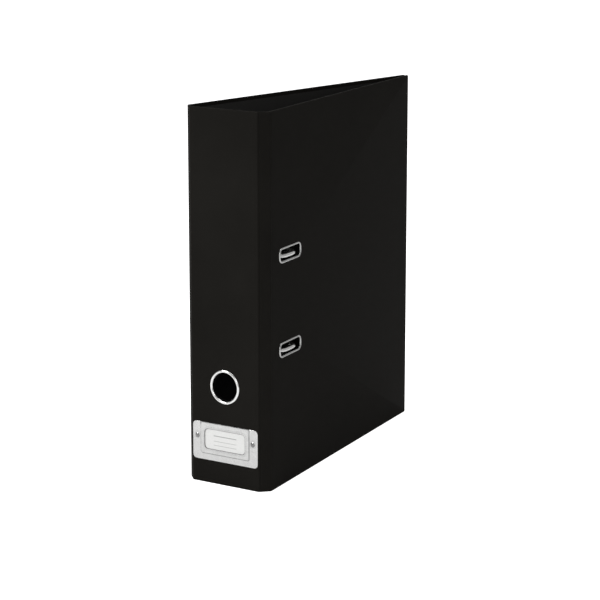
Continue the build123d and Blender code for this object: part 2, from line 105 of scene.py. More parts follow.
RING_WALL_ROOM = 1.0 * MM    # from the finger ring's bore to the hole in the paper
RING_HOLE_STEPS = 64

# ---- finger ring and slot eyelets ----
RING_STEPS = 96
RING_CONE = 0.8 * MM         # from the rim's inner foot to the bore
RING_CONE_DEPTH = 1.1 * MM
RING_WALL_LAP = 0.1 * MM     # from the rim's inner foot to the outside of the barrel
BEAD_STEPS = 12              # across a rolled rim
TUBE_WALL = 0.5 * MM         # of a barrel through a panel
CLINCH_THICK = 0.35 * MM
CLINCH_REACH = 0.8 * MM      # of a barrel's turned-over end
SLOT_CORNER = 5.7 * MM       # outside the flange
SLOT_FLANGE = 2.1 * MM       # from the flange's outer edge to the opening
SLOT_BEAD_START = 0.35 * MM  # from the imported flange's edge to the rolled rim

# ---- label holder ----
PLATE_SHEET = 0.5 * MM
PLATE_EDGE_ROUND = 0.3 * MM
PLATE_EDGE_STEPS = 4
PLATE_CORNER = 3.4 * MM
POCKET_SIDE = 8.0 * MM       # from the plate's side to the raised pocket
POCKET_FOOT = 5.4 * MM
POCKET_RISE = 0.6 * MM
POCKET_CORNER = 2.0 * MM
POCKET_SLOPE = 0.6 * MM      # width of the pressed step
WINDOW_SIDE = 4.6 * MM       # from the pocket's side to the window
WINDOW_FOOT = 10.2 * MM
WINDOW_HEIGHT = 17.0 * MM
WINDOW_CORNER = 3.4 * MM
HEM_ROUND = 0.42 * MM        # of the window's turned edge
HEM_ROWS = 4                 # of the sheet's faces that lie in the turned edge and take the window's painted shade
HEM_BEAD = 0.10 * MM
HEM_BEAD_AT = 1.3 * MM
HEM_BEAD_SPREAD = 0.4        # of its distance from the window
RIVET_SEAT = 2.9 * MM        # radius of the pressed groove round a rivet
RIVET_SEAT_DEPTH = 0.16 * MM
RIVET_SEAT_SPREAD = 0.15     # of its radius
PLATE_RINGS = 70             # of faces between the window and the plate's edge
PLATE_HEM_SHARES = [0.0, 0.005, 0.012, 0.022, 0.035]   # finer rings beside the window
PLATE_RINGS_FROM = 0.05
PLATE_PARTS = (72, 34)       # of a ring's long and short sides
PLATE_BACK_ROOM = 0.02 * MM  # between the plate's back and the spine
# painted shade: a dark grey laid on the slopes of the holder's pressed sheet
FOLD_SHADE_ATTRIBUTE = "fold_shade"
FOLD_SLOPE = 0.5 * MM        # a rise over the width of the step that gets the full painted shade
FOLD_SHADE_STRENGTH = 0.65             # how far the full painted shade goes towards its grey
FOLD_SHADE_GREY = (0.10, 0.10, 0.10)

# ---- label card ----
CARD_LINE_HALF = 11.5 * MM   # length from the middle
CARD_LINE_SOFT = 0.12 * MM   # ink's soft edge
CARD_LINE_END = 0.15 * MM    # and its soft end
# each ruled line's height as a share of the card, its half thickness and its strength
CARD_LINES = ((0.62, 0.30 * MM, 0.75), (0.44, 0.16 * MM, 0.6), (0.30, 0.16 * MM, 0.6))

# ---- details on the mechanism ----
SPRING_WIRE = 1.1 * MM
SPRING_TURNS = 8.25
SPRING_LEG = 9.5 * MM
SPRING_LEG_TURN = 80.0       # degrees round the axle where the leg leaves the coil
COIL_STEPS = 28
RIB_SIDES = 12
RIB_STEPS = 16
RIB_BLUNTNESS = 8.0          # power that keeps a rib's width up to near its ends
RIB_END_FALL = 255.0         # leaves a rib's ends a sixteenth of its width
THUMB_TIP = 2.6 * MM         # the grip's thumb lip, from its end
THUMB_FOOT = 7.0 * MM
THUMB_DROP = 5.3 * MM
THUMB_RIBS_AT = 0.55         # of the way from the lip's tip to its foot
THUMB_RIBS, THUMB_RIB_PITCH = 5, 1.15 * MM
THUMB_RIB_MARGIN, THUMB_RIB_THICK = 4 * MM, 0.7 * MM
LATCH_RIBS, LATCH_RIB_PITCH = 4, 0.8 * MM
LATCH_RIB_MARGIN, LATCH_RIB_THICK = 2.4 * MM, 0.5 * MM

# ---- studio ----
FLOOR_HALF = 6.0
FLOOR_BEND = 1.5
FLOOR_BEND_STEPS = 24
BACKDROP_RISE = 5.0
GLOW_SEEN = 0.85             # the floor's own light where it is looked at
GLOW_AROUND = 0.08           # and the light that it gives the file
AIR_GLOW = 0.42
# each light's name, place, size and power in watts
LIGHTS = (
    ("key", (-1.1, -1.6, 1.5), 0.9, 32.0),
    ("fill", (1.0, -2.0, 0.9), 0.9, 6.0),
    ("top", (0.1, 0.2, 2.2), 1.6, 14.0),
)
VIEW_AZIMUTH = 33.45
VIEW_ELEVATION = 12.30
VIEW_DISTANCE = 1.9865
VIEW_LENS = 135.1
VIEW_SENSOR = 36.0
VIEW_AIM = Vector((-17.67, -3.82, -26.87)) * MM   # from the middle of the file's box


# ---------------------------------------------------------------- finishes
class Finish:
    """A material and short calls to lay out its nodes."""

    COARSENESS = 0.55   # of every noise

    def __init__(self, name, **fixed):
        self.material = bpy.data.materials.new(name)
        self.material.use_nodes = True
        self.tree = self.material.node_tree
        self.shader = self.tree.nodes["Principled BSDF"]
        self.place = self.add("ShaderNodeTexCoord").outputs["Object"]
        for socket, value in fixed.items():
            self.shader.inputs[socket.replace("_", " ")].default_value = value

    def add(self, kind, **settings):
        node = self.tree.nodes.new(kind)
        for key, value in settings.items():
            setattr(node, key, value)
        return node

    def feed(self, source, socket):
        self.tree.links.new(source, socket)

    def stretched(self, scale):
        """Object coordinates scaled differently along each axis."""
        node = self.add("ShaderNodeMapping")
        node.inputs["Scale"].default_value = scale
        self.feed(self.place, node.inputs["Vector"])
        return node.outputs["Vector"]

    def noise(self, size, detail, stretch=(1, 1, 1)):
        """Noise whose features are about this size."""
        node = self.add("ShaderNodeTexNoise")
        node.inputs["Scale"].default_value = 1 / size
        node.inputs["Detail"].default_value = detail
        node.inputs["Roughness"].default_value = self.COARSENESS
        self.feed(self.stretched(stretch), node.inputs["Vector"])
        return node.outputs["Fac"]

    def axis(self, letter):
        """One of the Object coordinates."""
        node = self.add("ShaderNodeSeparateXYZ")
        self.feed(self.place, node.inputs["Vector"])
        return node.outputs[letter]

    def ranged(self, value, low, high, to_low=0.0, to_high=1.0):
        """A value carried from one range to another and held at its ends."""
        node = self.add("ShaderNodeMapRange")
        for socket, number in zip(
            ("From Min", "From Max", "To Min", "To Max"), (low, high, to_low, to_high)
        ):
            node.inputs[socket].default_value = number
        self.feed(value, node.inputs["Value"])
        return node.outputs["Result"]

    def maths(self, operation, first, second):
        """A sum of two values, each a number or another node's output."""
        node = self.add("ShaderNodeMath", operation=operation)
        for socket, value in zip(node.inputs, (first, second)):
            if isinstance(value, (int, float)):
                socket.default_value = value
            else:
                self.feed(value, socket)
        return node.outputs[0]

    def between(self, factor, first, second):
        """A colour mixed from two, by a factor that varies over the surface."""
        node = self.add("ShaderNodeMix", data_type="RGBA")
        sockets = [s for s in node.inputs if s.type == "RGBA"]
        for socket, colour in zip(sockets, (first, second)):
            if isinstance(colour, tuple):
                socket.default_value = (*colour, 1)
            else:
                self.feed(colour, socket)
        self.feed(factor, node.inputs[0])
        return next(s for s in node.outputs if s.type == "RGBA")

    def colour(self, source):
        self.feed(source, self.shader.inputs["Base Color"])

    def gloss(self, source):
        self.feed(source, self.shader.inputs["Roughness"])

    def relief(self, *layers):
        """Bumps laid over each other: (height source, depth in metres, strength)."""
        normal = None
        for height, depth, strength in layers:
            node = self.add("ShaderNodeBump")
            node.inputs["Strength"].default_value = strength
            node.inputs["Distance"].default_value = depth
            self.feed(height, node.inputs["Height"])
            if normal is not None:
                self.feed(normal, node.inputs["Normal"])
            normal = node.outputs["Normal"]
        self.feed(normal, self.shader.inputs["Normal"])


def edge_wear(finish, low, high, reach):
    """Rubbed patches within reach of the two ends of the file, as a factor."""
    up = finish.axis("Z")
    foot = finish.ranged(up, low, low + reach, 1, 0)
    head = finish.ranged(up, high - reach, high, 0, 1)
    ends = finish.maths("MAXIMUM", foot, head)
    patches = finish.ranged(finish.noise(9 * MM, 4), 0.48, 0.66)
    return finish.maths("MULTIPLY", ends, patches)


def outer_paper():
    """Black printed paper with a satin film: a fine grain over a faint unevenness of the board."""
    finish = Finish("black_case_paper", **{"Specular IOR Level": 0.006})
    cloud = finish.ranged(finish.noise(60 * MM, 2), 0.3, 0.7)
    tone = finish.between(cloud, (0.0098, 0.0092, 0.0082), (0.0118, 0.0111, 0.0099))
    wear = edge_wear(finish, CAD_LOW.z, CAD_HIGH.z, WEAR_REACH)
    finish.colour(finish.between(wear, tone, (0.017, 0.016, 0.0145)))
    grain = finish.noise(0.42 * MM, 3)
    finish.gloss(finish.maths(
        "ADD", finish.ranged(cloud, 0, 1, 0.46, 0.52), finish.ranged(grain, 0.3, 0.7, 0, 0.07)
    ))
    finish.relief((finish.noise(14 * MM, 2), 0.12 * MM, 0.35), (grain, 0.02 * MM, 0.5))
    return finish.material


def lining_paper():
    """Matt black lining paper with visible fibres."""
    finish = Finish("black_lining_paper", **{"Specular IOR Level": 0.12})
    fibre = finish.noise(1.1 * MM, 4, (1, 1, 0.22))
    finish.colour(finish.between(
        finish.ranged(fibre, 0.35, 0.7), (0.0105, 0.0101, 0.0094), (0.0150, 0.0145, 0.0136)
    ))
    finish.gloss(finish.ranged(fibre, 0.3, 0.7, 0.66, 0.80))
    finish.relief((fibre, 0.03 * MM, 0.5), (finish.noise(0.3 * MM, 2), 0.02 * MM, 0.4))
    return finish.material


def metal(name, dark, light, rough, lay, lay_depth, fold_shade=False):
    """Plated or drawn metal: fine lines along one axis, soft handling marks and a slight colour drift.
    A pressed sheet can take painted shade, a dark grey on its sloped steps."""
    finish = Finish(name, Metallic=1.0)
    lines = finish.noise(0.28 * MM, 2, lay)
    marks = finish.ranged(finish.noise(6 * MM, 3), 0.35, 0.7)
    tone = finish.between(marks, dark, light)
    if fold_shade:
        # painted shade: towards dark grey where the pressed sheet slopes
        folds = finish.add("ShaderNodeAttribute", attribute_name=FOLD_SHADE_ATTRIBUTE).outputs["Fac"]
        tone = finish.between(folds, tone, FOLD_SHADE_GREY)
    finish.colour(tone)
    finish.gloss(finish.maths(
        "ADD", finish.ranged(lines, 0.3, 0.7, rough, rough + 0.05), finish.ranged(marks, 0, 1, 0, 0.05)
    ))
    finish.relief((lines, lay_depth, 0.4))
    return finish.material


def black_plastic():
    """Spark-eroded black moulding."""
    finish = Finish("black_moulding", **{"Specular IOR Level": 0.4})
    pits = finish.noise(0.35 * MM, 4)
    finish.colour(finish.between(
        finish.ranged(pits, 0.35, 0.65), (0.012, 0.012, 0.012), (0.021, 0.021, 0.020)
    ))
    finish.gloss(finish.ranged(pits, 0.3, 0.7, 0.42, 0.58))
    finish.relief((pits, 0.04 * MM, 0.6))
    return finish.material


def white_plastic():
    """Smooth natural acetal, slightly let through by light, with turning marks."""
    finish = Finish("white_acetal", **{"Subsurface Weight": 0.15, "Subsurface Scale": 1.5 * MM})
    rings = finish.noise(0.4 * MM, 2, (0.2, 0.2, 1))
    finish.colour(finish.between(finish.ranged(rings, 0.3, 0.7), (0.70, 0.70, 0.67), (0.78, 0.78, 0.75)))
    finish.gloss(finish.ranged(rings, 0.3, 0.7, 0.26, 0.36))
    finish.relief((rings, 0.01 * MM, 0.3))
    return finish.material


def ruled_card():
    """White card with fibres and plain grey ruled lines, centred in the holder's window."""
    low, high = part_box("label_card")
    finish = Finish("ruled_white_card", **{"Specular IOR Level": 0.3})
    fibre = finish.noise(0.8 * MM, 4)
    sheet = finish.between(finish.ranged(fibre, 0.3, 0.7), (0.665, 0.665, 0.655), (0.72, 0.72, 0.71))
    across, up = finish.axis("X"), finish.axis("Z")
    reach = finish.maths("ABSOLUTE", across, 0)
    margin = finish.ranged(reach, CARD_LINE_HALF, CARD_LINE_HALF + CARD_LINE_END, 1, 0)
    marks = None
    for share, half, strength in CARD_LINES:
        height = low.z + (high.z - low.z) * share
        apart = finish.maths("ABSOLUTE", finish.maths("SUBTRACT", up, height), 0)
        band = finish.ranged(apart, half, half + CARD_LINE_SOFT, strength, 0)
        line = finish.maths("MULTIPLY", band, margin)
        marks = line if marks is None else finish.maths("MAXIMUM", marks, line)
    finish.colour(finish.between(marks, sheet, (0.22, 0.22, 0.22)))
    finish.gloss(finish.ranged(fibre, 0.3, 0.7, 0.55, 0.7))
    finish.relief((fibre, 0.02 * MM, 0.4))
    return finish.material


# the lay of a metal's fine lines
ALONG_X, ALONG_Z, EVEN = (0.04, 1, 1), (1, 1, 0.04), (1, 1, 1)
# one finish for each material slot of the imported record
FINISHES = {
    "outer_paper": outer_paper(),
    "inner_paper": lining_paper(),
    "bright_metal": metal(
        "bright_nickel", (0.80, 0.80, 0.79), (0.88, 0.88, 0.87), 0.09, EVEN, 0.004 * MM
    ),
    "label_metal": metal(
        "silver_sheet", (0.62, 0.62, 0.615), (0.69, 0.69, 0.685), 0.22, ALONG_X, 0.006 * MM, fold_shade=True
    ),
    "plated_steel": metal(
        "nickelled_steel", (0.74, 0.74, 0.73), (0.84, 0.84, 0.83), 0.17, ALONG_Z, 0.008 * MM
    ),
    "spring_steel": metal(
        "spring_wire", (0.30, 0.30, 0.31), (0.40, 0.40, 0.41), 0.26, EVEN, 0.010 * MM
    ),
    "black_plastic": black_plastic(),
    "white_plastic": white_plastic(),
    "card": ruled_card(),
}
# finishes that only the pieces made here or single nodes have
# a darker copy of the bright nickel for the slot eyelets' rims on the front cover: painted shade
SLOT_NICKEL_PAINTED_SHADE = metal("slot_nickel_painted_shade", (0.44, 0.44, 0.435), (0.54, 0.54, 0.53), 0.12, EVEN, 0.004 * MM)
# near-black metal for the insides of the finger ring and the slot eyelets: painted shade in the holes, on metal
# plated like the rims
PAINTED_SHADE_STEEL = metal(
    "painted_shade_barrel", (0.006, 0.006, 0.006), (0.012, 0.012, 0.012), 0.5, EVEN, 0.002 * MM
)
# dark grey metal on the window's turned hem and cut edge: painted shade of the gap over the card
WINDOW_HEM_SHADE = metal("window_hem_painted_shade", (0.16, 0.16, 0.16), (0.22, 0.22, 0.22), 0.38, ALONG_X, 0.008 * MM)
# a much darker copy of the holder's metal for its rivets: painted shade
RIVET_PAINTED_SHADE = metal("rivet_painted_shade", (0.22, 0.22, 0.22), (0.30, 0.30, 0.30), 0.20, EVEN, 0.008 * MM)


# ---------------------------------------------------------------- meshes
def piece(name, mesh, slots, body=None, sharp_from=WIRE_SHARP_FROM, second=None):
    """An object with its place in its mesh, its finishes and its body.
    Folds of sharp_from degrees or more stay sharp, and a second finish has no slot of its own."""
    for slot in slots:
        mesh.materials.append(FINISHES[slot])
    if second:
        mesh.materials.append(second)
    for face in mesh.polygons:
        face.use_smooth = True
    mesh.set_sharp_from_angle(angle=math.radians(sharp_from))
    made = bpy.data.objects.new(name, mesh)
    bpy.context.scene.collection.objects.link(made)
    if body:
        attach(made, body)
    return made


def from_bmesh(name, work, outward=True):
    """A plain mesh, with its faces turned outwards unless it is an open sheet."""
    if outward:
        bmesh.ops.recalc_face_normals(work, faces=work.faces)
    mesh = bpy.data.meshes.new(name)
    work.to_mesh(mesh)
    work.free()
    return mesh


def bridge(work, rings, closed=True):
    """Quads between rings of vertices that have the same number of points."""
    count = len(rings[0])
    last = count if closed else count - 1
    faces = []
    for lower, upper in zip(rings, rings[1:]):
        for i in range(last):
            j = (i + 1) % count
            faces.append(work.faces.new((lower[i], lower[j], upper[j], upper[i])))
    return faces


def fill(work, loops):
    """Flat fill of the first loop, with the other loops as holes."""
    edges = []
    for loop in loops:
        for start, end in zip(loop, loop[1:] + loop[:1]):
            edges.append(work.edges.get((start, end)) or work.edges.new((start, end)))
    bmesh.ops.triangle_fill(work, use_beauty=True, use_dissolve=False, edges=edges)


def arc(centre, radius, start, end, steps):
    """Points from one angle to another, in degrees."""
    turns = [math.radians(start + (end - start) * i / steps) for i in range(steps + 1)]
    return [(centre[0] + radius * math.cos(t), centre[1] + radius * math.sin(t)) for t in turns]


def rounded_rectangle(left, right, low, high, radius, steps, along=1, up=1):
    """A loop of points, with its sides divided into this many parts."""
    corners = [
        arc((right - radius, low + radius), radius, -90, 0, steps),
        arc((right - radius, high - radius), radius, 0, 90, steps),
        arc((left + radius, high - radius), radius, 90, 180, steps),
        arc((left + radius, low + radius), radius, 180, 270, steps),
    ]
    points = []
    for corner, following, parts in zip(corners, corners[1:] + corners[:1], (up, along, up, along)):
        points += corner
        start, end = Vector(corner[-1]), Vector(following[0])
        points += [tuple(start.lerp(end, part / parts)) for part in range(1, parts)]
    return points


def quarter_round(radius, steps):
    """(inset, depth) pairs round an edge, from the face to the side."""
    turns = [math.radians(90 * i / steps) for i in range(steps + 1)]
    return [(radius * (1 - math.sin(t)), radius * (1 - math.cos(t))) for t in turns]


def edge_profile(thickness, radius, steps):
    """(inset, depth) pairs down a rounded edge, from the outer face to the inner one."""
    upper = quarter_round(radius, steps)
    return upper + [(inset, thickness - depth) for inset, depth in reversed(upper)]


def rolled_rim(start, width, rise):
    """(inset, depth) pairs over a half-round rim that stands rise proud of a face."""
    middle = start + width / 2
    turns = [math.pi * i / BEAD_STEPS for i in range(BEAD_STEPS + 1)]
    return [(middle - math.cos(t) * width / 2, -rise * math.sin(t)) for t in turns]


def closed_sweep(name, rows, loop_at, painted_shade_rows):
    """A closed shell through one loop for each (inset, depth).
    The listed rows take the second finish, a near-black painted shade."""
    work = bmesh.new()
    rings = [[work.verts.new(point) for point in loop_at(inset, depth)] for inset, depth in rows]
    faces = bridge(work, rings + rings[:1])
    for index, face in enumerate(faces):
        if index // len(rings[0]) in painted_shade_rows:
            face.material_index = 1
    return from_bmesh(name, work)


def barrel_rows(rim, wall_at, bore_at, thickness):
    """A rim's rows carried on through a panel to an end turned over behind it."""
    end = thickness + CLINCH_THICK
    return rim + [
        (bore_at, thickness - CLINCH_THICK),
        (bore_at - CLINCH_THICK, end),
        (wall_at - CLINCH_REACH, end),
        (wall_at - CLINCH_REACH, thickness),
        (wall_at, thickness),
        (wall_at, 0.0),
    ]


# ---------------------------------------------------------------- the case
class Panel:
    """One stiff panel: s runs away from its first crease, depth runs inwards from its outer skin."""

    def __init__(self, name, body, start, angle, length, side=1):
        self.name = name
        self.body = body
        self.length = length
        self.side = side
        self.start = Vector((start[0], start[1]))
        self.run = Vector((math.cos(angle), math.sin(angle)))
        self.out = Vector((math.sin(angle), -math.cos(angle)))

    def flat(self, s, depth):
        """A place in plan, as it is on the front side of the file."""
        return self.start + self.run * s - self.out * depth

    def at(self, s, depth, z):
        """A place in the model's frame, on this panel's own side of the file."""
        place = self.flat(s, depth)
        return Vector((place.x * self.side, place.y, z))

    def span(self, node):
        """Lowest and highest (s, depth, z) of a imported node."""
        rows = []
        for vertex in frame["nodes"][node].data.vertices:
            away = Vector((vertex.co.x * self.side, vertex.co.y)) - self.start
            rows.append((away.dot(self.run), -away.dot(self.out), vertex.co.z))
        return tuple(map(min, zip(*rows))), tuple(map(max, zip(*rows)))


def find_panels():
    """The five panels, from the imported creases: each crease's range is the turn it makes when closed."""
    spine_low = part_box("spine_wrap")[0]
    first, second = JOINTS["front_strip_fold"], JOINTS["front_cover_fold"]
    crease, fore_crease = Vector(first["pos_m"][:2]), Vector(second["pos_m"][:2])
    strip_angle = math.radians(first["range_deg"][1])
    cover_angle = strip_angle + math.radians(second["range_deg"][1])
    strip_length = (fore_crease - crease).length
    cover_length = (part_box("front_cover_wrap")[1].y - fore_crease.y) / math.sin(cover_angle)
    spine = Panel("spine", "spine", (-crease.x, spine_low.y), 0.0, 2 * crease.x)
    panels = {"spine": spine}
    for side, word in ((1, "front"), (-1, "back")):
        strip, cover = word + "_strip", word + "_cover"
        panels[strip] = Panel(strip, strip, crease, strip_angle, strip_length, side)
        panels[cover] = Panel(cover, cover, fore_crease, cover_angle, cover_length, side)
    return panels


PANELS = find_panels()
FOOT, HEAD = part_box("spine_wrap")[0].z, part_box("spine_wrap")[1].z
OUTER_FACE, PANEL_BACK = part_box("spine_wrap")[0].y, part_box("spine_liner")[1].y
PANEL_THICK = PANEL_BACK - OUTER_FACE
LINER_THICK = PANEL_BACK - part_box("spine_liner")[0].y
BOARD_THICK = PANEL_THICK - LINER_THICK


def outline(left, right, inset, fore_edge):
    """A panel's edge, drawn in by inset except at its creases. Fore-edge corners are round."""
    low, high = FOOT + inset, HEAD - inset
    end = right - inset if fore_edge else right
    corner = max(CORNER_ROUND - inset, CORNER_LEAST)
    points = [(left, high), (left, low)]
    if fore_edge:
        points += arc((end - corner, low + corner), corner, -90, 0, CORNER_STEPS)
        points += arc((end - corner, high - corner), corner, 0, 90, CORNER_STEPS)
    else:
        points += [(end, low), (end, high)]
    return points


def slot_holes(panel):
    """Outlines of the two slots in the front cover, inside the eyelets' flanges."""
    holes = []
    for node in ("upper_slot_eyelet", "lower_slot_eyelet"):
        (left, _, low), (right, _, high) = panel.span(node)
        left, right = left + SLOT_COVERED, right - SLOT_COVERED
        low, high = low + SLOT_COVERED, high - SLOT_COVERED
        holes.append(rounded_rectangle(left, right, low, high, SLOT_HOLE_CORNER, CORNER_STEPS))
    return holes


def ring_hole(panel):
    """Outline of the hole in the spine, round the finger ring's barrel."""
    low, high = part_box("finger_ring")
    middle = (low + high) / 2
    radius = MOUNTS["finger_hole"]["dims"]["r_mm"] * MM + RING_WALL_ROOM
    return [arc((panel.length / 2 + middle.x, middle.z), radius, 0, 360, RING_HOLE_STEPS)[:-1]]


def flat_sheet(panel, fore_edge, holes, rows):
    """A flat panel whose edge follows rows of (inset, depth), with holes right through it."""
    right = panel.length if fore_edge else panel.length - CREASE_HALF
    work = bmesh.new()
    rings = []
    for inset, depth in rows:
        points = outline(CREASE_HALF, right, inset, fore_edge)
        rings.append([work.verts.new(panel.at(s, depth, z)) for s, z in points])
    bridge(work, rings)
    tops, bottoms = [rings[0]], [rings[-1]]
    for hole in holes:
        through = [
            [work.verts.new(panel.at(s, depth, z)) for s, z in hole] for _, depth in (rows[0], rows[-1])
        ]
        bridge(work, through)
        tops.append(through[0])
        bottoms.append(through[1])
    fill(work, tops)
    fill(work, bottoms)
    return from_bmesh(panel.name, work)


def make_panel(name, fore_edge, holes):
    """The paper-covered board and, inside it, the liner with its margin."""
    panel = PANELS[name]
    rows = edge_profile(BOARD_THICK, EDGE_ROUND, EDGE_STEPS)
    mesh = flat_sheet(panel, fore_edge, holes, rows)
    board = piece(name + "_covered_board", mesh, ["outer_paper"], panel.body, SHARP_FROM)
    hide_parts(name + "_board", name + "_wrap")
    rows = [
        (LINER_MARGIN, BOARD_THICK - LINER_LAP),
        (LINER_MARGIN, PANEL_THICK - LINER_STEP),
        (LINER_MARGIN + LINER_STEP, PANEL_THICK),
    ]
    mesh = flat_sheet(panel, fore_edge, holes, rows)
    liner = piece(name + "_lining", mesh, ["inner_paper"], panel.body, SHARP_FROM)
    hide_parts(name + "_liner")


def crease_path(first, second, depth, bend_depth, scored):
    """Plan of a skin at this depth, from the first panel round the crease to the second.
    The bend's centre is bend_depth under both outer skins."""
    cosine = max(-1.0, min(1.0, first.run.dot(second.run)))
    half_turn = math.acos(cosine) / 2
    tangent = bend_depth * math.tan(half_turn)
    points = [first.flat(first.length - CREASE_HALF, depth)]
    crease = second.flat(0, 0)
    outwards = (first.out + second.out).normalized()
    centre = crease - outwards * (bend_depth / math.cos(half_turn))
    middle = math.atan2(outwards.y, outwards.x)
    for step in range(CREASE_STEPS + 1):
        angle = middle + half_turn * (2 * step / CREASE_STEPS - 1)
        points.append(centre + Vector((math.cos(angle), math.sin(angle))) * (bend_depth - depth))
    mark = SCORE_DEPTH if scored else 0.0
    for share, cut in SCORE_SHAPE:
        points.append(second.flat(max(SCORE_AT, tangent) + share * SCORE_HALF, depth + cut * mark))
    points.append(second.flat(CREASE_HALF, depth))
    return points


def make_crease(name, first, second, side):
    """The bent paper between two panels: one closed band from foot to head."""
    work = bmesh.new()
    ends = reversed(quarter_round(EDGE_ROUND, EDGE_STEPS))
    lower = [(FOOT + rise, inset, LINER_THICK + inset) for rise, inset in ends]
    lower += [(FOOT + LINER_MARGIN, 0.0, LINER_THICK), (FOOT + LINER_MARGIN + LINER_STEP, 0.0, 0.0)]
    upper = [(FOOT + HEAD - z, outer, inner) for z, outer, inner in reversed(lower)]
    rings = []
    for z, outer, inner in lower + upper:
        skin = crease_path(first, second, outer, CREASE_ROUND, True)
        lining = crease_path(first, second, PANEL_THICK - inner, PANEL_THICK + CREASE_INNER_ROUND, False)
        splits = len(skin)
        rings.append([work.verts.new((p.x * side, p.y, z)) for p in skin + lining[::-1]])
    faces = bridge(work, rings)
    work.faces.new(rings[0])
    work.faces.new(rings[-1])
    count = len(rings[0])
    for index, face in enumerate(faces):
        ring, place = divmod(index, count)
        lined = len(lower) - 2 <= ring <= len(lower)
        if lined and splits <= place < count - 1:
            face.material_index = 1
    mesh = from_bmesh(name, work)
    crease = piece(name, mesh, ["outer_paper", "inner_paper"], None, SHARP_FROM)
    start = first.flat(first.length - CREASE_BLEND, 0)
    end = second.flat(CREASE_BLEND, 0)
    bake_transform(crease)


def make_case():
    """The spine, two strips and two covers, and the creases between them."""
    make_panel("spine", False, ring_hole(PANELS["spine"]))
    for word in ("front", "back"):
        make_panel(word + "_strip", False, [])
        holes = slot_holes(PANELS["front_cover"]) if word == "front" else []
        make_panel(word + "_cover", True, holes)
    for word, side in (("front", 1), ("back", -1)):
        spine, strip, cover = PANELS["spine"], PANELS[word + "_strip"], PANELS[word + "_cover"]
        make_crease(word + "_spine_crease", spine, strip, side)
        make_crease(word + "_cover_crease", strip, cover, side)


# ---------------------------------------------------------------- pressed metalwork
def make_finger_ring():
    """Spun from one profile: a rolled rim, a barrel through the spine and its turned-over end."""
    low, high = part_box("finger_ring")
    middle, outer = (low + high) / 2, (high.x - low.x) / 2
    bore_at = outer - MOUNTS["finger_hole"]["dims"]["r_mm"] * MM
    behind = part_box("finger_back_ring")[1].y - OUTER_FACE
    rim = rolled_rim(0.0, bore_at - RING_CONE, OUTER_FACE - low.y) + [(bore_at, RING_CONE_DEPTH)]
    rows = barrel_rows(rim, bore_at - RING_CONE - RING_WALL_LAP, bore_at, behind)

    def loop_at(inset, depth):
        circle = arc((middle.x, middle.z), outer - inset, 0, 360, RING_STEPS)[:-1]
        return [(x, OUTER_FACE + depth, z) for x, z in circle]

    # the inner cone, the bore's wall and the start of the turned end take painted shade
    painted_shade_rows = (BEAD_STEPS, BEAD_STEPS + 1, BEAD_STEPS + 2)
    mesh = closed_sweep("finger_ring_spun", rows, loop_at, painted_shade_rows)
    ring = piece("finger_ring_spun", mesh, ["bright_metal"], "spine", SHARP_FROM, PAINTED_SHADE_STEEL)
    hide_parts("finger_ring")


def make_slot_eyelets():
    """Each eyelet has a rolled rim on the cover, a wall through it and an end turned over inside."""
    panel = PANELS["front_cover"]
    for word in ("upper", "lower"):
        node = word + "_slot_eyelet"
        (left, top, low), (right, _, high) = panel.span(node)
        rim = rolled_rim(SLOT_BEAD_START, SLOT_FLANGE - SLOT_BEAD_START, -top)
        rows = barrel_rows(rim, SLOT_FLANGE - TUBE_WALL, SLOT_FLANGE, PANEL_THICK)

        def loop_at(inset, depth):
            flat = rounded_rectangle(
                left + inset, right - inset, low + inset, high - inset, SLOT_CORNER - inset, CORNER_STEPS
            )
            return [panel.at(s, depth, z) for s, z in flat]

        name = word + "_slot_rim"
        # the wall inside the slot and the start of the turned end take painted shade
        mesh = closed_sweep(name, rows, loop_at, (BEAD_STEPS, BEAD_STEPS + 1))
        eyelet = piece(name, mesh, ["bright_metal"], panel.body, SHARP_FROM, PAINTED_SHADE_STEEL)
        # the rims take the darker copy of the bright nickel, a painted shade
        mesh.materials[0] = SLOT_NICKEL_PAINTED_SHADE
        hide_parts(node)


def smooth_rise(share):
    """From 0 to 1, level at both ends."""
    share = max(0.0, min(1.0, share))
    return share * share * (3 - 2 * share)


def beyond_rounded(x, z, half_x, half_z, radius):
    """Distance outside a rounded rectangle about the origin. Inside it is negative."""
    over_x, over_z = abs(x) - half_x + radius, abs(z) - half_z + radius
    return math.hypot(max(over_x, 0), max(over_z, 0)) + min(max(over_x, over_z), 0) - radius


